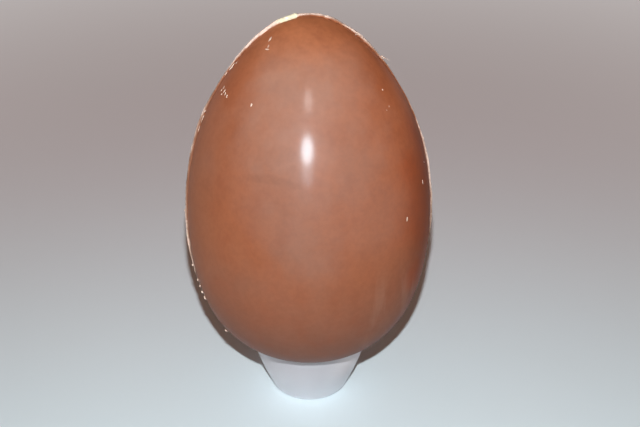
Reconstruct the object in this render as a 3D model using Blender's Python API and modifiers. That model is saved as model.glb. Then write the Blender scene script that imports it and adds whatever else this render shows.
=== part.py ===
"""A moulded chocolate egg that stands on its fat end in a small white cup.

The two halves of the egg are fused into one piece. Their joint shows as a thin
raised seam, which runs from just above the cup up one side, over the top and
down the other side.

Frame: the origin is the middle of the cup's foot, +Z is up, -Y is the front,
and the seam's two sides face -X and +X. The egg leans back a little, to +Y.
"""

from math import atan2, cos, hypot, pi, radians, sin

import bmesh
import bpy
from mathutils import Matrix, Vector

# ---- driving sizes, in metres ---------------------------------------------

EGG_LENGTH = 0.190          # from the fat end to the tip, without the seam
EGG_WIDTH = 0.130           # across the fattest place, without the seam
EGG_LEAN = radians(8.0)     # how far the tip leans back from upright

# The outline is a circle's, cos(a) against sin(a), with its radius scaled by a
# cubic in sin(a): these are the cubic's three terms.
TIP_TAPER = -0.12
END_FULLNESS = 0.06
TIP_POINT = -0.15

SEAM_PROUD = 0.0019         # how far the seam stands out of the egg
SEAM_THICKNESS = 0.0018
SEAM_TURN = radians(2.6)    # the seam's left side comes this far to the front
SEAM_WAVE = 0.0003          # the seam's edge is uneven by this much
SEAM_ROOT = 0.0010          # how deep its edge lies where it has faded out
SEAM_FADE_LOW = 0.004       # height above the fat end where it is deepest
SEAM_FADE_HIGH = 0.026      # height where it stands out in full

CUP_HEIGHT = 0.0362         # to the rim's outer edge
CUP_MOUTH_RADIUS = 0.0334   # outside
CUP_FOOT_RADIUS = 0.0214    # where the side would meet the table
CUP_SIDE_BULGE = 0.0012     # the side's bow, out of a straight cone
CUP_WALL = 0.0013
CUP_FOOT_ROUND = 0.0022     # radius between the side and the foot
CUP_RIM_ROUND = 0.0004

SEAT_GAP = 0.0001           # from the egg to the rim's edge before it is rounded

EGG_ROWS = 36               # along the egg's outline
EGG_STEPS = 72              # round the egg
CUP_STEPS = 56
SEAM_POINTS = 48            # along each side of the seam
MERGE = 0.00001

# ---- materials -------------------------------------------------------------

MILK_CHOCOLATE = {"colour": (0.33, 0.115, 0.060), "roughness": 0.30}
WHITE_PLASTIC = {"colour": (0.78, 0.79, 0.80), "roughness": 0.45}


def make_material(name, colour, roughness):
    material = bpy.data.materials.new(name)
    material.use_nodes = True
    shader = material.node_tree.nodes["Principled BSDF"]
    shader.inputs["Base Color"].default_value = (*colour, 1.0)
    shader.inputs["Roughness"].default_value = roughness
    shader.inputs["Metallic"].default_value = 0.0
    return material


# ---- scene helpers ---------------------------------------------------------

def clear_scene():
    for old in list(bpy.data.objects):
        bpy.data.objects.remove(old, do_unlink=True)


def new_collection(name):
    collection = bpy.data.collections.new(name)
    bpy.context.scene.collection.children.link(collection)
    return collection


def turned_piece(name, outline, steps, collection):
    """A closed or open turned shape, from (radius, height) points, top to bottom."""
    mesh = bpy.data.meshes.new(name)
    points = [(radius, 0.0, height) for radius, height in outline]
    edges = [(i, i + 1) for i in range(len(points) - 1)]
    mesh.from_pydata(points, edges, [])
    piece = bpy.data.objects.new(name, mesh)
    collection.objects.link(piece)
    screw = piece.modifiers.new("turn", "SCREW")
    screw.axis = "Z"
    screw.angle = 2.0 * pi
    screw.steps = steps
    screw.render_steps = steps
    screw.use_merge_vertices = True
    screw.merge_threshold = MERGE
    screw.use_smooth_shade = True
    return piece


def flat_plate(name, outline, thickness, collection):
    """A mesh plate with this (x, z) outline, centred on the XZ plane."""
    curve = bpy.data.curves.new(name, "CURVE")
    curve.dimensions = "2D"
    curve.fill_mode = "BOTH"
    curve.extrude = thickness / 2.0
    spline = curve.splines.new("POLY")
    spline.points.add(len(outline) - 1)
    for point, (x, z) in zip(spline.points, outline):
        point.co = (x, z, 0.0, 1.0)
    spline.use_cyclic_u = True
    drawn = bpy.data.objects.new(name + "_outline", curve)
    collection.objects.link(drawn)
    drawn.matrix_world = Matrix.Rotation(pi / 2.0, 4, "X")
    bpy.context.view_layer.update()
    seen = drawn.evaluated_get(bpy.context.evaluated_depsgraph_get())
    mesh = bpy.data.meshes.new_from_object(seen)
    welded = bmesh.new()
    welded.from_mesh(mesh)
    bmesh.ops.remove_doubles(welded, verts=welded.verts, dist=MERGE)
    bmesh.ops.recalc_face_normals(welded, faces=welded.faces)
    welded.to_mesh(mesh)
    welded.free()
    plate = bpy.data.objects.new(name, mesh)
    collection.objects.link(plate)
    plate.matrix_world = drawn.matrix_world
    bpy.data.objects.remove(drawn, do_unlink=True)
    plate.hide_render = True
    plate.display_type = "WIRE"
    return plate


# ---- the egg's outline -----------------------------------------------------

def plain_radius(angle):
    """The outline's radius before it is scaled to the egg's width."""
    s = sin(angle)
    return cos(angle) * (1.0 + TIP_TAPER * s + END_FULLNESS * s**2 + TIP_POINT * s**3)


FINE_ANGLES = [pi * (i / 600.0 - 0.5) for i in range(601)]
RADIUS_SCALE = EGG_WIDTH / 2.0 / max(plain_radius(a) for a in FINE_ANGLES)


def egg_point(angle):
    """(radius, height above the fat end), from -pi/2 at the fat end to pi/2."""
    return RADIUS_SCALE * plain_radius(angle), EGG_LENGTH / 2.0 * (1.0 + sin(angle))


def egg_normal(angle):
    """The outline's outward direction, as (radius, height)."""
    step = 0.001
    low_radius, low_height = egg_point(max(angle - step, -pi / 2.0))
    high_radius, high_height = egg_point(min(angle + step, pi / 2.0))
    along = atan2(high_height - low_height, high_radius - low_radius)
    return sin(along), -cos(along)


# ---- the cup's outline and the egg's seat in it ----------------------------

def cup_outline():
    """The cup's outside, from the rim down its side and in to the foot's middle."""
    side_rows = 8
    outline = []
    for i in range(side_rows + 1):
        share = 1.0 - i / side_rows
        height = CUP_FOOT_ROUND + share * (CUP_HEIGHT - CUP_FOOT_ROUND)
        straight = CUP_FOOT_RADIUS + (CUP_MOUTH_RADIUS - CUP_FOOT_RADIUS) * height / CUP_HEIGHT
        bow = 4.0 * CUP_SIDE_BULGE * share * (1.0 - share)
        outline.append((straight + bow, height))
    corner_radius, corner_height = outline[-1]
    round_rows = 4
    for i in range(1, round_rows + 1):
        turn = pi / 2.0 * i / round_rows
        outline.append((
            corner_radius - CUP_FOOT_ROUND * (1.0 - cos(turn)),
            corner_height - CUP_FOOT_ROUND * sin(turn),
        ))
    outline.append((0.0, 0.0))
    return outline


def egg_placement(lift):
    """The egg's place with its fat end leaning out of the cup's middle.

    The fat end is nearly a ball, so the egg leans about the point where the
    outline's normal at the rim meets its axis, and that point stays on the
    cup's axis.
    """
    rim_radius = rim_inner_edge()[0]
    rim_angle = min(
        (a for a in FINE_ANGLES if a < 0.0),
        key=lambda a: abs(egg_point(a)[0] - rim_radius),
    )
    radius, height = egg_point(rim_angle)
    normal_radius, normal_height = egg_normal(rim_angle)
    pivot = height - radius * normal_height / normal_radius
    lean = Matrix.Rotation(-EGG_LEAN, 4, "X")
    return Matrix.Translation((0.0, 0.0, lift + pivot)) @ lean @ Matrix.Translation((0.0, 0.0, -pivot))


def rim_inner_edge():
    """(radius, height): the wall is as thick there, square to the leaning side."""
    (top_radius, top_height), (next_radius, next_height) = cup_outline()[:2]
    side = atan2(top_height - next_height, top_radius - next_radius)
    return top_radius - CUP_WALL * sin(side), top_height + CUP_WALL * cos(side)


def rim_clearance(lift):
    """The smallest distance from the rim's inner edge to the egg."""
    to_egg = egg_placement(lift).inverted()
    outline = [egg_point(a) for a in FINE_ANGLES if a < 0.0]
    rim_radius, rim_height = rim_inner_edge()
    smallest = EGG_LENGTH
    for i in range(24):
        turn = pi * i / 12.0
        rim = Vector((rim_radius * cos(turn), rim_radius * sin(turn), rim_height))
        local = to_egg @ rim
        radius = hypot(local.x, local.y)
        distance = min(hypot(r - radius, h - local.z) for r, h in outline)
        inside = any(h < local.z and r > radius for r, h in outline)
        smallest = min(smallest, -distance if inside else distance)
    return smallest


def seat_lift():
    """The fat end's height, as if upright, that leaves the gap at the rim."""
    low, high = 0.0, CUP_HEIGHT
    for _ in range(24):
        middle = (low + high) / 2.0
        if rim_clearance(middle) < SEAT_GAP:
            low = middle
        else:
            high = middle
    return high


# ---- the pieces ------------------------------------------------------------

def seam_height(angle, side):
    """How far the seam stands out of the egg at this place, on the side -1 or 1."""
    height = egg_point(angle)[1]
    rise = (height - SEAM_FADE_LOW) / (SEAM_FADE_HIGH - SEAM_FADE_LOW)
    rise = min(max(rise, 0.0), 1.0)
    eased = rise * rise * (3.0 - 2.0 * rise)
    wave = SEAM_WAVE * (sin(9.0 * angle) * sin(23.0 * angle + side) - 1.0)
    return eased * (SEAM_PROUD + SEAM_ROOT) - SEAM_ROOT + wave * sin(2.0 * angle) ** 2


def seam_outline():
    """The seam plate's (x, z) outline: down the right side and up the left."""
    outline = []
    for side in (1, -1):
        for i in range(SEAM_POINTS):
            angle = side * (pi / 2.0 - pi * i / SEAM_POINTS)
            radius, height = egg_point(angle)
            normal_radius, normal_height = egg_normal(angle)
            proud = seam_height(angle, side)
            outline.append((side * (radius + proud * normal_radius), height + proud * normal_height))
    return outline


def make_egg(collection, guides):
    angles = [pi * (0.5 - i / EGG_ROWS) for i in range(EGG_ROWS + 1)]
    outline = [egg_point(angle) for angle in angles]
    outline[0] = (0.0, EGG_LENGTH)
    outline[-1] = (0.0, 0.0)
    egg = turned_piece("egg", outline, EGG_STEPS, collection)
    seam = flat_plate("seam_guide", seam_outline(), SEAM_THICKNESS, guides)
    place = egg_placement(seat_lift()) @ Matrix.Rotation(SEAM_TURN, 4, "Z")
    egg.matrix_world = place
    seam.matrix_world = place @ seam.matrix_world
    join = egg.modifiers.new("seam", "BOOLEAN")
    join.operation = "UNION"
    join.solver = "EXACT"
    join.object = seam
    egg.data.materials.append(make_material("milk_chocolate", **MILK_CHOCOLATE))
    return egg


def make_cup(collection):
    cup = turned_piece("cup", cup_outline(), CUP_STEPS, collection)
    wall = cup.modifiers.new("wall", "SOLIDIFY")
    wall.thickness = CUP_WALL
    wall.offset = -1.0
    wall.use_even_offset = True
    rim = cup.modifiers.new("rim", "BEVEL")
    rim.width = CUP_RIM_ROUND
    rim.segments = 2
    rim.limit_method = "ANGLE"
    rim.angle_limit = radians(60.0)
    cup.data.materials.append(make_material("white_plastic", **WHITE_PLASTIC))
    return cup


def main():
    clear_scene()
    parts = new_collection("chocolate_egg")
    guides = new_collection("guides")
    make_cup(parts)
    make_egg(parts, guides)


main()
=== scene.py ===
"""A moulded milk chocolate egg, standing on its fat end in a small white cup.

Frame: the origin is the middle of the cup's foot, +Z is up and -Y is the front.
The egg is first modelled upright, with its fat end at the origin and its seam
in the XZ plane, and is then leaned back and set into the cup. Sizes are in
metres, and turns along the seam are in degrees from the tip: the left side is
negative, the right side is positive, and the fat end is 180 either way.
"""
from math import atan2, cos, degrees, hypot, pi, radians, sin
from random import Random

import bpy
from mathutils import Matrix, Vector, noise


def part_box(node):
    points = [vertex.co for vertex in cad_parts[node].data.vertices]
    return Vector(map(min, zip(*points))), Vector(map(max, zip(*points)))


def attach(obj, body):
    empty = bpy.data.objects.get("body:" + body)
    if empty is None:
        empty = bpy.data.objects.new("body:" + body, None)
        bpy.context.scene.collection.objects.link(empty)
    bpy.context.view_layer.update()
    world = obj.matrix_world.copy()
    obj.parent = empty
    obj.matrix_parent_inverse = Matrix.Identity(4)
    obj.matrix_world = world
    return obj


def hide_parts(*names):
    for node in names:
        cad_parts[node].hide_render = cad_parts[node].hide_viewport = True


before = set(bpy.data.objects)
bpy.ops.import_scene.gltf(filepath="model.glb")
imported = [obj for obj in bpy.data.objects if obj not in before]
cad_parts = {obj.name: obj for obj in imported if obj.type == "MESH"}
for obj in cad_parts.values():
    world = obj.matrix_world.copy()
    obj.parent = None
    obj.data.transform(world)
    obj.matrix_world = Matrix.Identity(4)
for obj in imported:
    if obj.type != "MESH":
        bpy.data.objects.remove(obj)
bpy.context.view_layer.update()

MM = 0.001

# ---- the egg ---------------------------------------------------------------

EGG_LENGTH = 0.190
EGG_WIDTH = 0.1298           # a hair less than the solid's, which has flat facets
EGG_LEAN = radians(8.0)      # the tip leans back by this
SEAM_TURN = radians(2.6)     # the seam's left side comes this far to the front
TIP_TAPER = -0.12            # the outline's cubic, as in the solid model
END_FULLNESS = 0.06
TIP_POINT = -0.15

EGG_ROWS = 360               # up the outline
EGG_STEPS = 128              # round the egg
MERGE = 0.00002


def plain_radius(angle):
    """The outline's radius before it is scaled to the egg's width."""
    s = sin(angle)
    return cos(angle) * (1.0 + TIP_TAPER * s + END_FULLNESS * s**2 + TIP_POINT * s**3)


RADIUS_SCALE = EGG_WIDTH / 2.0 / max(plain_radius(pi * (i / 600.0 - 0.5)) for i in range(601))


def egg_point(angle):
    """(radius, height above the fat end), from -pi/2 at the fat end to pi/2."""
    return RADIUS_SCALE * plain_radius(angle), EGG_LENGTH / 2.0 * (1.0 + sin(angle))


def egg_normal(angle):
    """The outline's outward direction, as (radius, height)."""
    step = 0.001
    low_radius, low_height = egg_point(max(angle - step, -pi / 2.0))
    high_radius, high_height = egg_point(min(angle + step, pi / 2.0))
    along = atan2(high_height - low_height, high_radius - low_radius)
    return sin(along), -cos(along)


def angle_at(height):
    """The outline's angle at this height above the fat end."""
    share = max(-1.0, min(1.0, 2.0 * height / EGG_LENGTH - 1.0))
    return atan2(share, (1.0 - share * share) ** 0.5)


def surface_place(height, turn):
    """(point, outward direction) on the smooth egg, turn in degrees from +X."""
    angle = angle_at(height)
    radius, _ = egg_point(angle)
    normal_radius, normal_height = egg_normal(angle)
    side = Vector((cos(radians(turn)), sin(radians(turn)), 0.0))
    point = side * radius + Vector((0.0, 0.0, height))
    return point, (side * normal_radius + Vector((0.0, 0.0, normal_height))).normalized()


def egg_placement():
    """Leans the upright egg back and sets it where the solid egg stands."""
    lean = Matrix.Rotation(-EGG_LEAN, 4, "X") @ Matrix.Rotation(SEAM_TURN, 4, "Z")
    outline = [egg_point(pi * (i / 600.0 - 0.5)) for i in range(601)]
    leaned = [lean @ Vector((0.0, side * r, h)) for r, h in outline for side in (-1, 1)]
    low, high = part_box("egg")
    middle = (min(p.y for p in leaned) + max(p.y for p in leaned)) / 2.0
    lift = low.z - min(p.z for p in leaned)
    return Matrix.Translation((0.0, (low.y + high.y) / 2.0 - middle, lift)) @ lean


# ---- the seam --------------------------------------------------------------

SEAM_COLUMNS = (              # mm from its middle, on both sides
    0.18, 0.40, 0.56, 0.66, 0.72, 0.80, 0.95, 1.30, 1.90, 2.60, 3.30, 4.20,
)
SEAM_SHAPE = (                # (mm from its middle, share of its height)
    (0.00, 0.88), (0.18, 0.98), (0.40, 1.00), (0.56, 0.93),
    (0.66, 0.66), (0.72, 0.34), (0.80, 0.10), (0.95, 0.03), (1.30, 0.00),
)
SEAM_PROUD = (                # (turn in degrees, mm proud), between these it is eased
    (-180, 0.0), (-160, 0.0), (-148, 1.1), (-135, 1.6), (-118, 1.7), (-107, 1.8), (-97, 1.9),
    (-95, 1.5), (-75, 1.5), (-62, 1.8), (-50, 1.1), (-42, 0.9), (-36, 1.2), (-28, 1.6), (-16, 1.9),
    (-11, 2.1), (-5.6, 2.0), (-4.6, 1.2), (0, 1.1), (5, 1.2), (12, 1.3), (15, 1.1), (24, 1.6),
    (34, 1.1), (50, 0.5), (62, 0.9), (78, 1.6), (95, 1.9), (115, 1.3), (135, 0.9),
    (150, 0.6), (163, 0.0), (180, 0.0),
)
SEAM_PALE = (                 # (turn in degrees, how pale it is scraped)
    (-180, 0.0), (-150, 0.1), (-144, 0.3), (-140, 0.6), (-136, 0.2), (-128, 0.6), (-122, 0.6),
    (-119, 0.2), (-115, 0.8), (-111, 0.4), (-107, 1.0), (-101, 0.7), (-96, 0.5), (-92, 0.25),
    (-80, 0.2), (-76, 0.6), (-71, 0.6), (-67, 0.35), (-60, 0.6), (-56, 0.25), (-44, 0.3), (-38, 1.0),
    (-6, 1.0), (-4, 0.7), (8, 0.8), (12, 0.35), (15, 0.25), (18, 0.8), (27, 0.65), (30, 0.3),
    (36, 0.35), (41, 0.05), (54, 0.05), (60, 0.5), (70, 0.75), (74, 0.5), (78, 0.85), (94, 0.7),
    (97, 0.3), (114, 0.1), (120, 0.0), (180, 0.0),
)
SEAM_PALE_DEPTH = (           # (turn in degrees, how far down its flank the pale runs)
    (-180, 0.0), (-120, 0.2), (-108, 0.4), (-96, 0.2), (-88, 0.05), (-66, 0.1), (-46, 0.1), (-40, 0.3),
    (-30, 0.45), (-20, 0.65), (-13, 1.0), (-5, 1.0), (-4, 0.4), (12, 0.3), (18, 0.35), (27, 0.25),
    (32, 0.1), (40, 0.0), (60, 0.1), (78, 0.45), (94, 0.35), (99, 0.2), (115, 0.0), (180, 0.0),
)

CHIP_START = -15.0            # the broken place beside the tip, in degrees
CHIP_END = -5.0
CHIP_REACH = 3.4              # mm in front of the seam
CHIP_DEPTH = 0.45             # mm


def eased(table, at):
    """The value at this place of a table of (place, value) pairs, with eased steps."""
    for (before, low), (after, high) in zip(table, table[1:]):
        if at <= after:
            share = max(0.0, (at - before) / (after - before))
            return low + (high - low) * share * share * (3.0 - 2.0 * share)
    return table[-1][1]


def limited(value):
    return max(0.0, min(1.0, value))


def wobble(place, size, seed):
    """Smooth unevenness from -1 to 1 along the seam, with waves about this long."""
    return max(-1.0, min(1.0, 1.8 * noise.noise(Vector((place / size, seed, 0.37)))))


def seam_turn(point):
    """Where a point of the upright egg is along the seam, in degrees from the tip."""
    height = 2.0 * point.z / EGG_LENGTH - 1.0
    radius = hypot(point.x, point.y) / RADIUS_SCALE
    return degrees(atan2(radius, height)) * (1.0 if point.x >= 0.0 else -1.0)


def chipped(turn, front):
    """How far into the broken place this is, from 0 to 1; front is mm in front of the seam."""
    reach = CHIP_REACH * (0.8 + 0.3 * wobble(turn, 2.3, 5.0))
    along = min((turn - CHIP_START) / 4.0, (CHIP_END - turn) / 0.8)
    across = min((front - 0.3) / 0.5, (reach - front) / 1.6)
    return limited(along) * limited(across)


def raise_seam(egg):
    """Moves the points near the seam plane out into its uneven ridge."""
    ridge = egg.data.attributes.new("ridge", "FLOAT", "POINT")
    scraped = egg.data.attributes.new("scraped", "FLOAT", "POINT")
    broken = egg.data.attributes.new("broken", "FLOAT", "POINT")
    reach = SEAM_COLUMNS[-1]
    for vertex in egg.data.vertices:
        across = vertex.co.y / MM
        if abs(across) > reach + 0.001:
            continue
        turn = seam_turn(vertex.co)
        normal_radius, normal_height = egg_normal(angle_at(vertex.co.z))
        radius = max(hypot(vertex.co.x, vertex.co.y), 1e-6)
        out = Vector((
            vertex.co.x / radius * normal_radius,
            vertex.co.y / radius * normal_radius,
            normal_height,
        ))
        proud = eased(SEAM_PROUD, turn)
        proud *= 0.87 + 0.08 * wobble(turn, 5.0, 1.0) + 0.05 * wobble(turn, 1.3, 2.0)
        share = eased(SEAM_SHAPE, abs(across))
        chip = chipped(turn, -across)
        vertex.co += out * ((proud * share - CHIP_DEPTH * chip) * MM)
        fade = max(0.0, 1.0 - abs(across) / reach)
        vertex.co.y += MM * fade * (0.25 * wobble(turn, 11.0, 3.0) + 0.10 * wobble(turn, 1.9, 4.0))
        pale_depth = eased(SEAM_PALE_DEPTH, turn) + 0.25 * wobble(turn, 3.0, 6.0)
        on_ridge = limited(1.0 - (1.0 - share - pale_depth) / 0.30)
        if abs(across) > 1.0:
            on_ridge = 0.0
        ridge.data[vertex.index].value = limited(share * 1.5) * limited(proud)
        scraped.data[vertex.index].value = on_ridge * eased(SEAM_PALE, turn) * limited(proud * 2.0)
        ridge_end = limited((turn - CHIP_START) / 2.0) * limited((CHIP_END + 0.6 - turn) / 0.5)
        broken.data[vertex.index].value = max(chip * 0.5, on_ridge * ridge_end * 0.8)


# ---- modelling helpers -----------------------------------------------------

def start_from_point(name, point):
    """A mesh of one point, in edit mode, ready to be extruded."""
    bpy.ops.object.select_all(action="DESELECT")
    bpy.ops.mesh.primitive_plane_add(size=MM)
    piece = bpy.context.object
    piece.name = name
    bpy.ops.object.mode_set(mode="EDIT")
    bpy.ops.mesh.merge(type="CENTER")
    bpy.ops.transform.translate(value=point)
    return piece


def turn_profile(name, outline, steps):
    """Extrudes a point along a (radius, height) outline and spins it round Z."""
    places = [Vector((radius, 0.0, height)) for radius, height in outline]
    piece = start_from_point(name, places[0])
    for before, after in zip(places, places[1:]):
        bpy.ops.mesh.extrude_region_move(TRANSFORM_OT_translate={"value": after - before})
    bpy.ops.mesh.select_all(action="SELECT")
    bpy.ops.mesh.spin(steps=steps, angle=2.0 * pi, center=(0.0, 0.0, 0.0), axis=(0.0, 0.0, 1.0))
    bpy.ops.mesh.select_all(action="SELECT")
    bpy.ops.mesh.remove_doubles(threshold=MERGE)
    bpy.ops.mesh.normals_make_consistent(inside=False)
    return piece


def finish_piece(piece, node, material):
    piece.data.materials.clear()
    piece.data.materials.append(material)
    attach(piece, "root")
    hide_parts(node)


def mould_egg(material):
    outline = [egg_point(pi * (i / EGG_ROWS - 0.5)) for i in range(EGG_ROWS + 1)]
    egg = turn_profile("chocolate_shell", outline, EGG_STEPS)
    for offset in SEAM_COLUMNS:
        for side in (-1.0, 1.0):
            bpy.ops.mesh.select_all(action="SELECT")
            bpy.ops.mesh.bisect(plane_co=(0.0, side * offset * MM, 0.0), plane_no=(0.0, 1.0, 0.0))
    bpy.ops.object.mode_set(mode="OBJECT")
    raise_seam(egg)
    bpy.ops.object.shade_smooth()
    egg.matrix_world = egg_placement()
    bpy.ops.object.transform_apply(location=True, rotation=True, scale=True)
    finish_piece(egg, "egg", material)
    return egg


# ---- the crumbs ------------------------------------------------------------

# Each row: turn, mm in front of the seam, mm out from the plain egg, then length,
# width and height in mm, and how many degrees the lower end is tipped outward.
CRUMBS_BESIDE_SEAM = (
    (-39.4, 3.9, 0.10, 4.6, 0.90, 0.70, 0), (-43.5, 1.2, 0.15, 2.2, 0.50, 0.45, 0),
    (-60.0, 1.3, 0.25, 1.5, 0.80, 0.70, 0), (-63.0, 1.1, 0.10, 4.5, 0.35, 0.35, 0),
    (-67.0, 1.1, 0.10, 3.6, 0.35, 0.35, 0), (-74.0, 0.6, 1.35, 1.1, 0.70, 0.55, 0),
    (-76.5, 0.6, 1.35, 0.9, 0.60, 0.50, 0), (-96.0, 0.5, 1.45, 1.4, 0.60, 0.60, 20),
    (-107.0, 0.6, 1.45, 1.5, 0.70, 0.60, 0), (-114.8, 0.7, 1.50, 1.6, 1.00, 0.90, 15),
    (-116.8, 0.9, 1.20, 1.2, 0.70, 0.60, 0), (-122.6, 0.8, 1.30, 1.5, 0.90, 0.80, 20),
    (-124.8, 0.8, 1.20, 1.2, 0.70, 0.60, 0), (-127.6, 0.9, 1.10, 1.4, 0.70, 0.60, -15),
    (-141.0, 0.7, 1.00, 1.6, 0.80, 0.70, -20), (-143.5, 0.7, 0.80, 0.9, 0.50, 0.50, 0),
    (-117.5, 11.0, -0.85, 1.6, 0.90, 0.95, 15), (-119.5, 12.0, -1.0, 1.3, 0.90, 0.95, 20),
    (-121.7, 12.0, -1.0, 1.7, 1.00, 1.05, 0), (-124.0, 12.0, -1.0, 2.4, 0.90, 0.95, 0),
    (-137.5, 17.0, -1.7, 2.0, 1.10, 1.20, -20), (5.0, 0.3, 1.10, 1.2, 0.70, 0.50, 0),
    (8.5, 0.4, 1.15, 1.0, 0.60, 0.50, 0), (22.5, 2.0, 0.10, 1.1, 0.90, 0.60, 0),
    (41.0, 0.5, 0.90, 1.0, 0.60, 0.55, 0), (72.0, 0.6, 1.10, 0.9, 0.50, 0.45, 0),
)
BURR = (38.2, 0.4, 1.85, 5.0, 1.10, 0.90, 24)
# Each row: mm up the egg, degrees round it, length and width in mm, roll in degrees.
SPECKS_ON_FRONT = (
    (181.0, -148.5, 3.4, 1.0, -20), (178.5, -142.0, 1.9, 0.8, -20), (177.3, -140.5, 3.0, 0.8, 80),
    (156.2, -165.0, 1.8, 1.0, 0), (154.6, -166.0, 1.4, 1.0, 20), (155.2, -161.0, 2.8, 0.8, 10),
    (154.7, -158.0, 1.9, 0.9, -20), (153.4, -162.5, 1.2, 0.8, 40), (154.2, -154.5, 1.9, 0.9, -30),
    (154.5, -129.5, 1.8, 0.9, 0), (167.0, -173.0, 1.6, 0.5, 0), (158.0, -34.5, 0.9, 0.7, 0),
    (150.5, -36.0, 0.9, 0.7, 40), (149.5, -39.5, 0.6, 0.4, 0), (116.0, -15.0, 0.8, 0.6, 0),
    (108.5, -23.5, 2.4, 1.1, 10), (95.8, -42.0, 2.3, 1.2, 15),
)
CRUMB_SUNK = 0.30             # share of a crumb's height that is below where it is laid
SPECK_TALLEST = 0.35          # mm
BACK_CRUMBS = 16              # along the seam behind
BACK_CRUMBS_REACH = 125.0     # degrees from the tip, to either side
BACK_SPECKS = 12              # on the face behind
SCATTER_SEED = 7


def model_crumb():
    """One crumb a unit across, flat below and uneven above."""
    bpy.ops.object.select_all(action="DESELECT")
    bpy.ops.mesh.primitive_ico_sphere_add(subdivisions=2, radius=0.5)
    crumb = bpy.context.object
    for vertex in crumb.data.vertices:
        vertex.co *= 1.0 + 0.45 * noise.noise(vertex.co * 2.3 + Vector((4.0, 1.0, 7.0)))
        vertex.co.z = max(vertex.co.z, -0.3)
    return crumb


def model_burr():
    """One curled shaving a unit long, thick at its root and thin at its tip."""
    bpy.ops.object.select_all(action="DESELECT")
    bpy.ops.mesh.primitive_cone_add(
        vertices=10, radius1=0.5, radius2=0.10, depth=1.0,
        end_fill_type="TRIFAN", rotation=(0.0, pi / 2.0, 0.0),
    )
    burr = bpy.context.object
    bpy.ops.object.transform_apply(location=False, rotation=True, scale=False)
    bpy.ops.object.mode_set(mode="EDIT")
    for cut in range(1, 8):
        bpy.ops.mesh.select_all(action="SELECT")
        bpy.ops.mesh.bisect(plane_co=(cut / 8.0 - 0.5, 0.0, 0.0), plane_no=(1.0, 0.0, 0.0))
    bpy.ops.object.mode_set(mode="OBJECT")
    for vertex in burr.data.vertices:
        vertex.co.z += 0.7 * vertex.co.x**2 + 0.20 * noise.noise(vertex.co * 3.0)
    return burr


def lay_down(unit, point, out, along, length, width, height):
    """A copy of a unit piece with its own mesh, sized in mm and laid on the egg."""
    piece = unit.copy()
    piece.data = unit.data.copy()
    bpy.context.scene.collection.objects.link(piece)
    across = out.cross(along).normalized()
    turned = Matrix((across.cross(out).normalized(), across, out.normalized())).transposed().to_4x4()
    sized = Matrix.Diagonal((length * MM, width * MM, height * MM, 1.0))
    lift = out.normalized() * (height * MM * (0.5 - CRUMB_SUNK))
    piece.data.transform(egg_placement() @ Matrix.Translation(point + lift) @ turned @ sized)
    return piece


def seam_place(turn):
    """(point, outward, along) of the plain egg under the seam, turn in degrees from the tip."""
    low, high = -pi / 2.0, pi / 2.0
    for _ in range(40):
        angle = (low + high) / 2.0
        if degrees(atan2(plain_radius(angle), sin(angle))) > abs(turn):
            low = angle
        else:
            high = angle
    side = 1.0 if turn >= 0.0 else -1.0
    radius, height = egg_point(angle)
    normal_radius, normal_height = egg_normal(angle)
    point = Vector((side * radius, 0.0, height))
    out = Vector((side * normal_radius, 0.0, normal_height))
    return point, out, Vector((side * normal_height, 0.0, -normal_radius))


def lay_on_seam(unit, row):
    """Lays a copy beside the seam; lift tips its lower end outward by this many degrees."""
    turn, front, outward, length, width, height, lift = row
    point, out, along = seam_place(turn)
    point += Vector((0.0, -front * MM, 0.0)) + out * (outward * MM)
    tip = radians(lift)
    tipped_out = out * cos(tip) - along * sin(tip)
    tipped_along = along * cos(tip) + out * sin(tip)
    return lay_down(unit, point, tipped_out, tipped_along, length, width, height)


def lay_on_face(unit, row):
    """Lays a copy on the plain egg, rolled from pointing up it."""
    at_height, turn, length, width, roll = row
    point, out = surface_place(at_height * MM, turn)
    level = Vector((0.0, 0.0, 1.0)).cross(out).normalized()
    uphill = out.cross(level)
    along = uphill * cos(radians(roll)) + level * sin(radians(roll))
    return lay_down(unit, point, out, along, length, width, min(SPECK_TALLEST, 0.5 * width))


def join_pieces(name, pieces, node, material):
    bpy.ops.object.select_all(action="DESELECT")
    for piece in pieces:
        piece.select_set(True)
    bpy.context.view_layer.objects.active = pieces[0]
    bpy.ops.object.join()
    joined = bpy.context.object
    joined.name = name
    bpy.ops.object.shade_smooth_by_angle(angle=radians(50.0))
    finish_piece(joined, node, material)
    return joined


def scatter_crumbs(material):
    """Crumbs and one burr along the seam, and specks on the front and the back."""
    pick = Random(SCATTER_SEED)
    crumb = model_crumb()
    burr = model_burr()
    beside = [lay_on_seam(crumb, row) for row in CRUMBS_BESIDE_SEAM]
    beside.append(lay_on_seam(burr, BURR))
    for _ in range(BACK_CRUMBS):
        turn = pick.uniform(-BACK_CRUMBS_REACH, BACK_CRUMBS_REACH)
        size = pick.uniform(0.6, 1.3)
        beside.append(lay_on_seam(crumb, (turn, -1.0, 0.10, size, 0.6 * size, 0.4 * size, 0)))
    specks = [lay_on_face(crumb, row) for row in SPECKS_ON_FRONT]
    for _ in range(BACK_SPECKS):
        size = pick.uniform(0.5, 1.3)
        specks.append(lay_on_face(crumb, (pick.uniform(30.0, 180.0), pick.uniform(15.0, 165.0),
                                          size, 0.6 * size, pick.uniform(0.0, 180.0))))
    for unit in (crumb, burr):
        bpy.data.objects.remove(unit)
    return [
        join_pieces("seam_crumbs", beside, "egg", material),
        join_pieces("surface_specks", specks, "egg", material),
    ]


# ---- the cup ---------------------------------------------------------------

CUP_FOOT_RADIUS = 0.0214
CUP_SIDE_BULGE = 0.0012
CUP_WALL = 0.0013
CUP_FOOT_ROUND = 0.0022
CUP_RIM_ROUND = 0.0005
CUP_STEPS = 160
CUP_SIDE_ROWS = 24


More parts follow.
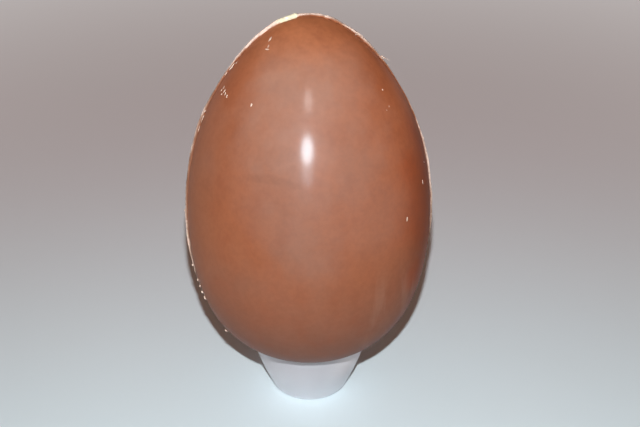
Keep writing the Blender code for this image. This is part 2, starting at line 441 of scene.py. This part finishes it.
def cup_side(height, mouth_radius, cup_height):
    """The outside radius of the cup's bowed side at this height."""
    share = height / cup_height
    straight = CUP_FOOT_RADIUS + (mouth_radius - CUP_FOOT_RADIUS) * share
    return straight + 4.0 * CUP_SIDE_BULGE * share * (1.0 - share)


def cup_outline():
    """From the middle of the foot, up the outside, over the rim and down the inside."""
    _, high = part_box("cup")
    mouth_radius = high.x
    height = high.z
    outline = [(0.0, 0.0)]
    corner = cup_side(CUP_FOOT_ROUND, mouth_radius, height)
    for i in range(9):
        turn = pi / 2.0 * i / 8
        outline.append((corner - CUP_FOOT_ROUND * (1.0 - sin(turn)), CUP_FOOT_ROUND * (1.0 - cos(turn))))
    top = height - CUP_RIM_ROUND
    for i in range(1, CUP_SIDE_ROWS + 1):
        at = CUP_FOOT_ROUND + (top - CUP_FOOT_ROUND) * i / CUP_SIDE_ROWS
        outline.append((cup_side(at, mouth_radius, height), at))
    outer, _ = outline[-1]
    inner = outer - CUP_WALL
    for i in range(1, 9):
        turn = pi * i / 9
        middle = (outer + inner) / 2.0
        outline.append((middle + CUP_WALL / 2.0 * cos(turn), top + CUP_RIM_ROUND * sin(turn)))
    for i in range(CUP_SIDE_ROWS + 1):
        at = top + (CUP_FOOT_ROUND + CUP_WALL - top) * i / CUP_SIDE_ROWS
        outline.append((cup_side(at, mouth_radius, height) - CUP_WALL, at))
    inside_corner = outline[-1][0]
    for i in range(1, 7):
        turn = pi / 2.0 * i / 6
        outline.append((
            inside_corner - CUP_FOOT_ROUND * (1.0 - cos(turn)),
            CUP_FOOT_ROUND + CUP_WALL - CUP_FOOT_ROUND * sin(turn),
        ))
    outline.append((0.0, CUP_WALL))
    return outline


def turn_cup(material):
    cup = turn_profile("white_cup", cup_outline(), CUP_STEPS)
    bpy.ops.object.mode_set(mode="OBJECT")
    bpy.ops.object.shade_smooth_by_angle(angle=radians(40.0))
    finish_piece(cup, "cup", material)
    return cup


# ---- materials -------------------------------------------------------------

class Finish:
    """A material whose nodes are added and joined in a few words."""

    def __init__(self, name):
        self.material = bpy.data.materials.new(name)
        self.material.use_nodes = True
        self.tree = self.material.node_tree
        self.shader = self.tree.nodes["Principled BSDF"]

    def node(self, kind, values=None, **settings):
        made = self.tree.nodes.new(kind)
        for setting, value in settings.items():
            setattr(made, setting, value)
        for socket, value in (values or {}).items():
            if isinstance(value, bpy.types.NodeSocket):
                self.tree.links.new(value, made.inputs[socket])
            else:
                made.inputs[socket].default_value = value
        return made

    def set(self, socket, value):
        if isinstance(value, bpy.types.NodeSocket):
            self.tree.links.new(value, self.shader.inputs[socket])
        else:
            self.shader.inputs[socket].default_value = value

    def place(self):
        return self.node("ShaderNodeTexCoord").outputs["Object"]

    def noise(self, place, scale, detail=4.0, roughness=0.5):
        values = {"Vector": place, "Scale": scale, "Detail": detail, "Roughness": roughness}
        return self.node("ShaderNodeTexNoise", values).outputs["Fac"]

    def ramp(self, value, low, high):
        """0 below low, 1 above high, eased between."""
        values = {"Value": value, "From Min": low, "From Max": high}
        return self.node("ShaderNodeMapRange", values, interpolation_type="SMOOTHSTEP").outputs["Result"]

    def scaled(self, value, low, high):
        """low where the value is 0, high where it is 1."""
        made = self.node("ShaderNodeMapRange", {"Value": value, "To Min": low, "To Max": high})
        return made.outputs["Result"]

    def maths(self, operation, first, second):
        return self.node("ShaderNodeMath", {0: first, 1: second}, operation=operation).outputs[0]

    def product(self, first, second):
        return self.maths("MULTIPLY", first, second)

    def square(self, value):
        return self.product(value, value)

    def rest(self, value):
        """One less the value."""
        return self.maths("SUBTRACT", 1.0, value)

    def distance(self, place, point):
        made = self.node("ShaderNodeVectorMath", {0: place, 1: point}, operation="DISTANCE")
        return made.outputs["Value"]

    def painted(self, name):
        """A value stored on the points of the mesh."""
        return self.node("ShaderNodeAttribute", attribute_name=name).outputs["Fac"]

    def parts(self, place):
        """The X, Y and Z of a place."""
        return self.node("ShaderNodeSeparateXYZ", {0: place}).outputs[:3]

    def mix(self, share, first, second):
        made = self.node("ShaderNodeMix", data_type="RGBA")
        sockets = {0: share, 6: first, 7: second}
        for index, value in sockets.items():
            if isinstance(value, bpy.types.NodeSocket):
                self.tree.links.new(value, made.inputs[index])
            else:
                made.inputs[index].default_value = value
        return made.outputs[2]

    def bump(self, height, strength, distance, normal=None):
        values = {"Height": height, "Strength": strength, "Distance": distance}
        if normal is not None:
            values["Normal"] = normal
        return self.node("ShaderNodeBump", values).outputs["Normal"]


# painted shade and light by height: the low brown is darker on the fat end, the high and tip browns lighter
# towards the tip
BROWN_LOW_SHADED = (0.168, 0.074, 0.051, 1.0)        # on the fat end
BROWN_MIDDLE = (0.288, 0.093, 0.042, 1.0)
BROWN_HIGH_LIT = (0.345, 0.108, 0.048, 1.0)
BROWN_TIP_LIT = (0.430, 0.138, 0.055, 1.0)
BROWN_WARM = (0.425, 0.105, 0.032, 1.0)       # up the right side
BROWN_MOTTLE = (0.235, 0.060, 0.024, 1.0)
BROWN_RED = (0.33, 0.060, 0.014, 1.0)
# painted shade on the right flank
BROWN_FAR_RIGHT_SHADED = (0.172, 0.028, 0.002, 1.0)
# painted reflection on the left flank
BROWN_FAR_LEFT_REFLECTION = (0.310, 0.125, 0.066, 1.0)
SPECKLE_DARK = (0.14, 0.040, 0.018, 1.0)
# pale bloomed chocolate with a painted sheen, paler towards the tip
SHEEN_AND_BLOOM_LOW = (0.200, 0.165, 0.148, 1.0)
SHEEN_AND_BLOOM_HIGH = (0.40, 0.32, 0.27, 1.0)
SHADE_DARK = (0.100, 0.030, 0.012, 1.0)
SMUDGE_DARK = (0.110, 0.050, 0.030, 1.0)
STREAK_PALE = (0.42, 0.26, 0.19, 1.0)
# painted shade on the seam's ridge
RIDGE_PAINTED_SHADE = (0.175, 0.100, 0.066, 1.0)
SCRAPED_PALE = (0.80, 0.59, 0.48, 1.0)
# the broken place's pale chocolate with a painted highlight
BROKEN_PALE_AND_HIGHLIGHT = (0.72, 0.65, 0.44, 1.0)

SEAM_PLANE = (0.1406, -0.0137)     # the seam's y is the first times z, plus the second
# the pale oval on the front: bloomed chocolate with a painted sheen
BLOOM_AND_SHEEN_MIDDLE = (0.001, 0.190)      # x and z of the pale haze on the front
BLOOM_AND_SHEEN_WIDTH = 0.086
BLOOM_AND_SHEEN_HEIGHT = 0.170
LOW_HAZE_MIDDLE = (0.030, -0.046, 0.140)
SMUDGE_MIDDLE = (-0.017, 0.1595)   # x and z of a dark smudge in it
SMUDGE_LENGTH = 0.016              # from its middle, and so is its width
SMUDGE_WIDTH = 0.0024
SMUDGE_SAG = 0.0022
STREAK_TILT = radians(-40.0)
REDDISH = (                        # (x, y, z, radius) of redder patches on the right
    (0.0515, -0.024, 0.152, 0.012), (0.0570, -0.026, 0.122, 0.011), (0.0530, -0.032, 0.094, 0.010),
)


def browns_with_painted_light(finish, place, cloud):
    """The chocolate's colour, redder on the right, with painted shade low down and on the right flank,
    painted light towards the tip and a painted reflection on the left flank.
    """
    x, _, z = finish.parts(place)
    mottle = finish.noise(place, 95.0, 5.0, 0.6)
    # painted light and shade: lighter towards the tip, darker towards the fat end
    tone = finish.mix(finish.ramp(z, 0.10, 0.22), BROWN_MIDDLE, BROWN_HIGH_LIT)
    tone = finish.mix(finish.ramp(z, 0.035, 0.125), BROWN_LOW_SHADED, tone)
    tone = finish.mix(finish.ramp(z, 0.192, 0.216), tone, BROWN_TIP_LIT)
    warm = finish.product(finish.ramp(x, -0.010, 0.040), finish.ramp(z, 0.100, 0.150))
    tone = finish.mix(finish.product(warm, 0.45), tone, BROWN_WARM)
    tone = finish.mix(finish.scaled(finish.ramp(mottle, 0.42, 0.70), 0.0, 0.27), tone, BROWN_MOTTLE)
    rosy = finish.product(finish.ramp(x, 0.035, 0.058), finish.ramp(cloud, 0.45, 0.62))
    for patch_x, patch_y, patch_z, reach in REDDISH:
        away = finish.distance(place, (patch_x, patch_y, patch_z))
        rosy = finish.maths("MAXIMUM", rosy, finish.rest(finish.ramp(away, 0.3 * reach, 1.3 * reach)))
    tone = finish.mix(finish.product(rosy, 0.55), tone, BROWN_RED)
    # painted shade: the right flank darker
    right_flank_shade = finish.ramp(x, 0.045, 0.063)
    tone = finish.mix(finish.scaled(right_flank_shade, 0.0, 0.75), tone, BROWN_FAR_RIGHT_SHADED)
    # painted reflection: the left flank paler and greyer
    left_flank_reflection = finish.ramp(finish.product(x, -1.0), 0.040, 0.060)
    tone = finish.mix(finish.scaled(left_flank_reflection, 0.0, 0.4), tone, BROWN_FAR_LEFT_REFLECTION)
    speckle = finish.ramp(finish.noise(place, 330.0, 4.0, 0.65), 0.35, 0.65)
    return finish.mix(finish.scaled(speckle, 0.15, 0.0), tone, SPECKLE_DARK)


def bloom_and_painted_sheen(finish, place, cloud, front):
    """How much paleness lies on each place: an oval on the front, bloomed with a painted sheen, and a patch
    low on its right.
    """
    x, _, z = finish.parts(place)
    across = finish.maths("DIVIDE", finish.maths("SUBTRACT", x, BLOOM_AND_SHEEN_MIDDLE[0]), BLOOM_AND_SHEEN_WIDTH / 2.0)
    across = finish.product(across, finish.scaled(finish.ramp(z, 0.105, 0.150), 1.5, 1.0))
    across = finish.product(across, finish.scaled(finish.ramp(z, 0.160, 0.208), 1.0, 1.6))
    up = finish.maths("DIVIDE", finish.maths("SUBTRACT", z, BLOOM_AND_SHEEN_MIDDLE[1]), BLOOM_AND_SHEEN_HEIGHT / 2.0)
    away = finish.maths("POWER", finish.maths("ADD", finish.square(across), finish.square(up)), 0.5)
    patchy = finish.noise(place, 34.0, 4.0, 0.6)
    ragged = finish.maths("ADD", away, finish.scaled(finish.noise(place, 45.0, 4.0, 0.55), -0.28, 0.28))
    inside = finish.rest(finish.ramp(ragged, 0.66, 1.22))
    under_tip = finish.scaled(finish.ramp(z, 0.201, 0.216), 1.0, 0.2)
    bloom_and_sheen = finish.product(finish.product(inside, front), under_tip)
    haze = finish.maths("MAXIMUM", bloom_and_sheen, finish.scaled(finish.ramp(cloud, 0.5, 0.75), 0.0, 0.35))
    low_haze = finish.rest(finish.ramp(finish.distance(place, LOW_HAZE_MIDDLE), 0.010, 0.036))
    haze = finish.maths("MAXIMUM", haze, finish.product(low_haze, 0.8))
    return finish.product(haze, finish.scaled(finish.ramp(patchy, 0.35, 0.65), 0.19, 0.29))


def long_smudge(finish, place, cloud, front):
    """A faint dark mark that bows down to both ends."""
    x, _, z = finish.parts(place)
    along = finish.maths("DIVIDE", finish.maths("SUBTRACT", x, SMUDGE_MIDDLE[0]), SMUDGE_LENGTH)
    sag = finish.product(finish.square(along), SMUDGE_SAG)
    above = finish.maths("ADD", finish.maths("SUBTRACT", z, SMUDGE_MIDDLE[1]), sag)
    above = finish.maths("ADD", above, finish.scaled(cloud, -0.002, 0.002))
    above = finish.maths("DIVIDE", above, SMUDGE_WIDTH)
    away = finish.maths("ADD", finish.square(along), finish.square(above))
    return finish.product(finish.rest(finish.ramp(away, 0.1, 1.3)), front)


def low_streaks(finish, place, front):
    """Faint pale streaks low on the right."""
    x, _, z = finish.parts(place)
    values = {"Vector": place, "Rotation": (0.0, STREAK_TILT, 0.0), "Scale": (1.0, 0.4, 0.16)}
    tilted = finish.node("ShaderNodeMapping", values).outputs["Vector"]
    streak = finish.ramp(finish.noise(tilted, 120.0, 3.0, 0.6), 0.48, 0.68)
    low_side = finish.product(finish.ramp(x, 0.015, 0.040), finish.rest(finish.ramp(z, 0.090, 0.115)))
    return finish.product(finish.product(streak, low_side), front)


def milk_chocolate():
    finish = Finish("milk_chocolate")
    place = finish.place()
    _, y, z = finish.parts(place)
    cloud = finish.noise(place, 18.0, 3.0, 0.55)
    slope, start = SEAM_PLANE
    seam_y = finish.maths("ADD", finish.product(z, slope), start)
    front = finish.ramp(finish.maths("SUBTRACT", seam_y, y), 0.002, 0.028)

    tone = browns_with_painted_light(finish, place, cloud)
    # pale bloomed look with a painted sheen on the front, paler towards the tip
    sheen_and_bloom = finish.mix(finish.ramp(z, 0.14, 0.205), SHEEN_AND_BLOOM_LOW, SHEEN_AND_BLOOM_HIGH)
    tone = finish.mix(bloom_and_painted_sheen(finish, place, cloud, front), tone, sheen_and_bloom)
    shade = finish.scaled(finish.ramp(finish.noise(place, 60.0, 3.0, 0.6), 0.36, 0.60), 0.07, 0.0)
    tone = finish.mix(shade, tone, SHADE_DARK)
    tone = finish.mix(finish.product(long_smudge(finish, place, cloud, front), 0.14), tone, SMUDGE_DARK)
    tone = finish.mix(finish.product(low_streaks(finish, place, front), 0.13), tone, STREAK_PALE)

    # painted shade: the seam's ridge darker
    tone = finish.mix(finish.product(finish.painted("ridge"), 0.80), tone, RIDGE_PAINTED_SHADE)
    crumbly = finish.scaled(finish.ramp(finish.noise(place, 700.0, 4.0, 0.6), 0.30, 0.55), 0.60, 1.20)
    colour = finish.mix(finish.product(finish.painted("scraped"), crumbly), tone, SCRAPED_PALE)
    # the broken place's pale chocolate, with a painted highlight on it
    colour = finish.mix(finish.product(finish.painted("broken"), crumbly), colour, BROKEN_PALE_AND_HIGHLIGHT)
    finish.set("Base Color", colour)
    finish.set("Roughness", finish.scaled(cloud, 0.48, 0.58))
    finish.set("Diffuse Roughness", 0.08)
    finish.set("Specular IOR Level", 0.06)
    finish.set("Coat Weight", 0.07)
    finish.set("Coat Roughness", 0.165)
    finish.set("Coat IOR", 1.5)
    grain = finish.noise(place, 420.0, 3.0, 0.5)
    wave = finish.noise(place, 28.0, 2.0, 0.5)
    soft = finish.bump(wave, 0.10, 0.0006)
    finish.set("Normal", finish.bump(grain, 0.08, 0.0002, soft))
    return finish.material


def scraped_chocolate():
    finish = Finish("scraped_chocolate")
    place = finish.place()
    cloud = finish.noise(place, 900.0, 3.0)
    tone = finish.mix(finish.ramp(cloud, 0.35, 0.65), (0.52, 0.33, 0.24, 1.0), (0.82, 0.64, 0.52, 1.0))
    finish.set("Base Color", tone)
    finish.set("Roughness", finish.scaled(cloud, 0.50, 0.65))
    finish.set("Specular IOR Level", 0.25)
    finish.set("Normal", finish.bump(finish.noise(place, 2600.0, 2.0), 0.2, 0.00005))
    return finish.material


def white_plastic():
    finish = Finish("white_plastic")
    place = finish.place()
    cloud = finish.noise(place, 40.0, 3.0)
    x, _, z = finish.parts(place)
    # painted shade: the cup darker towards its rim, under the egg
    tone = finish.mix(finish.ramp(z, 0.0, 0.034), (0.61, 0.61, 0.645, 1.0), (0.49, 0.458, 0.480, 1.0))
    # painted light: the cup's right side lighter
    right_painted_light = finish.maths("MULTIPLY", finish.ramp(x, 0.006, 0.022), finish.ramp(z, 0.010, 0.030))
    tone = finish.mix(finish.maths("MULTIPLY", right_painted_light, 0.7), tone, (0.70, 0.63, 0.63, 1.0))
    finish.set("Base Color", finish.mix(finish.scaled(cloud, 0.0, 0.25), tone, (0.66, 0.66, 0.67, 1.0)))
    finish.set("Roughness", finish.scaled(cloud, 0.40, 0.50))
    finish.set("Specular IOR Level", 0.35)
    finish.set("Subsurface Weight", 0.60)
    finish.set("Subsurface Radius", (0.010, 0.010, 0.010))
    finish.set("Normal", finish.bump(finish.noise(place, 900.0, 2.0), 0.06, 0.0001))
    return finish.material


BACKDROP = (0.60, 0.57, 0.565, 1.0)
TABLE_FADE = (0.15, 1.05)      # how far from the cup the table starts and ends fading


def pale_table():
    """Bluish white near the egg, pinker further back as painted bounce light, and glowing in the backdrop's
    colour away from the cup as painted light.
    """
    finish = Finish("pale_table")
    place = finish.place()
    _, y, _ = finish.parts(place)
    cloud = finish.noise(place, 6.0, 3.0)
    # painted bounce light: the table pinker further back
    tone = finish.mix(finish.ramp(y, -0.10, 0.40), (0.78, 0.89, 0.92, 1.0), (0.93, 0.84, 0.85, 1.0))
    tone = finish.mix(finish.scaled(cloud, 0.0, 0.3), tone, (0.86, 0.88, 0.88, 1.0))
    away = finish.node("ShaderNodeVectorMath", {0: place}, operation="LENGTH").outputs["Value"]
    # painted light: away from the cup the table glows in the backdrop's colour
    far = finish.ramp(away, *TABLE_FADE)
    finish.set("Base Color", finish.mix(far, tone, (0.0, 0.0, 0.0, 1.0)))
    finish.set("Emission Color", BACKDROP)
    finish.set("Emission Strength", far)
    finish.material.cycles.emission_sampling = "NONE"
    finish.set("Roughness", 0.55)
    finish.set("Specular IOR Level", 0.12)
    return finish.material


# ---- the studio ------------------------------------------------------------

CAMERA_PLACE = Vector((0.0059, -0.5508, 0.4465))
CAMERA_PITCH = radians(31.32)     # looking down by this
CAMERA_LENS = 67.5


def add_camera():
    camera = bpy.data.objects.new("camera", bpy.data.cameras.new("camera"))
    bpy.context.scene.collection.objects.link(camera)
    camera.location = CAMERA_PLACE
    camera.rotation_euler = (pi / 2.0 - CAMERA_PITCH, 0.0, 0.0)
    camera.data.lens = CAMERA_LENS
    camera.data.sensor_width = 36.0
    camera.data.clip_start = 0.01
    bpy.context.scene.camera = camera


def add_soft_light(name, place, aim, width, height, power, colour=(1.0, 1.0, 1.0)):
    light = bpy.data.objects.new(name, bpy.data.lights.new(name, "AREA"))
    bpy.context.scene.collection.objects.link(light)
    light.location = place
    light.rotation_euler = (Vector(aim) - Vector(place)).to_track_quat("-Z", "Y").to_euler()
    light.visible_camera = False
    light.data.cycles.use_multiple_importance_sampling = False
    light.data.shape = "ELLIPSE"
    light.data.size = width
    light.data.size_y = height
    light.data.energy = power
    light.data.color = colour
    return light


EGG_MIDDLE = (0.0, 0.0, 0.12)
FLASH_ABOVE_LENS = 0.066
GLINT_ASIDE = Vector((-0.017, 0.0, 0.0))
COOL = (0.84, 1.0, 1.11)


def add_glint(name, place, width, height, power, colour=(1.0, 1.0, 1.0)):
    """A light that shows only as a reflection."""
    glint = add_soft_light(name, place, EGG_MIDDLE, width, height, power, colour)
    glint.visible_diffuse = False


def add_outline_light(name, place, width, height, power, pieces_only, colour=(1.0, 1.0, 1.0)):
    """A light on the pieces alone, which doesn't show as a reflection."""
    light = add_soft_light(name, place, EGG_MIDDLE, width, height, power, colour)
    light.visible_glossy = False
    light.light_linking.receiver_collection = pieces_only


def light_studio(pieces):
    pieces_only = bpy.data.collections.new("lit_apart_from_the_table")
    for piece in pieces:
        pieces_only.objects.link(piece)
    up = Vector((0.0, sin(CAMERA_PITCH), cos(CAMERA_PITCH)))
    flash_place = CAMERA_PLACE + up * FLASH_ABOVE_LENS
    key_light = add_soft_light("key_light", flash_place, EGG_MIDDLE, 0.014, 0.012, 4.45, (0.95, 1.03, 1.08))
    key_light.visible_glossy = False
    add_glint("key_glint", CAMERA_PLACE + up * 0.045 + GLINT_ASIDE, 0.118, 0.150, 13.1, COOL)
    add_glint("low_glint", CAMERA_PLACE - up * 0.088 + GLINT_ASIDE, 0.12, 0.11, 1.6, COOL)
    add_glint("top_glint", (0.0, -0.62, 1.14), 0.18, 0.24, 7.7)
    add_soft_light("overhead", (0.0, 0.55, 1.5), (0.0, 0.45, 0.0), 1.0, 1.0, 0.55, (1.0, 0.90, 0.88))
    add_outline_light("side_light", (-1.1, -0.35, 0.35), 0.6, 0.6, 2.1, pieces_only)
    add_outline_light("back_light", (-0.70, 1.15, 0.50), 0.9, 0.6, 4.2, pieces_only, (0.92, 1.0, 1.06))
    light_world()


def light_world():
    """Warm low light all round, and a pale backdrop where the camera sees past the table."""
    world = bpy.data.worlds.new("studio")
    bpy.context.scene.world = world
    world.use_nodes = True
    tree = world.node_tree
    ambient = tree.nodes["Background"]
    ambient.inputs["Color"].default_value = (1.0, 0.55, 0.38, 1.0)
    ambient.inputs["Strength"].default_value = 0.120
    backdrop = tree.nodes.new("ShaderNodeBackground")
    backdrop.inputs["Color"].default_value = BACKDROP
    choice = tree.nodes.new("ShaderNodeMixShader")
    tree.links.new(tree.nodes.new("ShaderNodeLightPath").outputs["Is Camera Ray"], choice.inputs[0])
    tree.links.new(ambient.outputs[0], choice.inputs[1])
    tree.links.new(backdrop.outputs[0], choice.inputs[2])
    tree.links.new(choice.outputs[0], tree.nodes["World Output"].inputs["Surface"])


def lay_table():
    bpy.ops.object.select_all(action="DESELECT")
    bpy.ops.mesh.primitive_plane_add(size=12.0)
    table = bpy.context.object
    table.name = "table"
    table.data.materials.append(pale_table())


bpy.context.scene.view_settings.view_transform = "Standard"
egg = mould_egg(milk_chocolate())
crumbs = scatter_crumbs(scraped_chocolate())
cup = turn_cup(white_plastic())
lay_table()
light_studio([egg, cup] + crumbs)
add_camera()
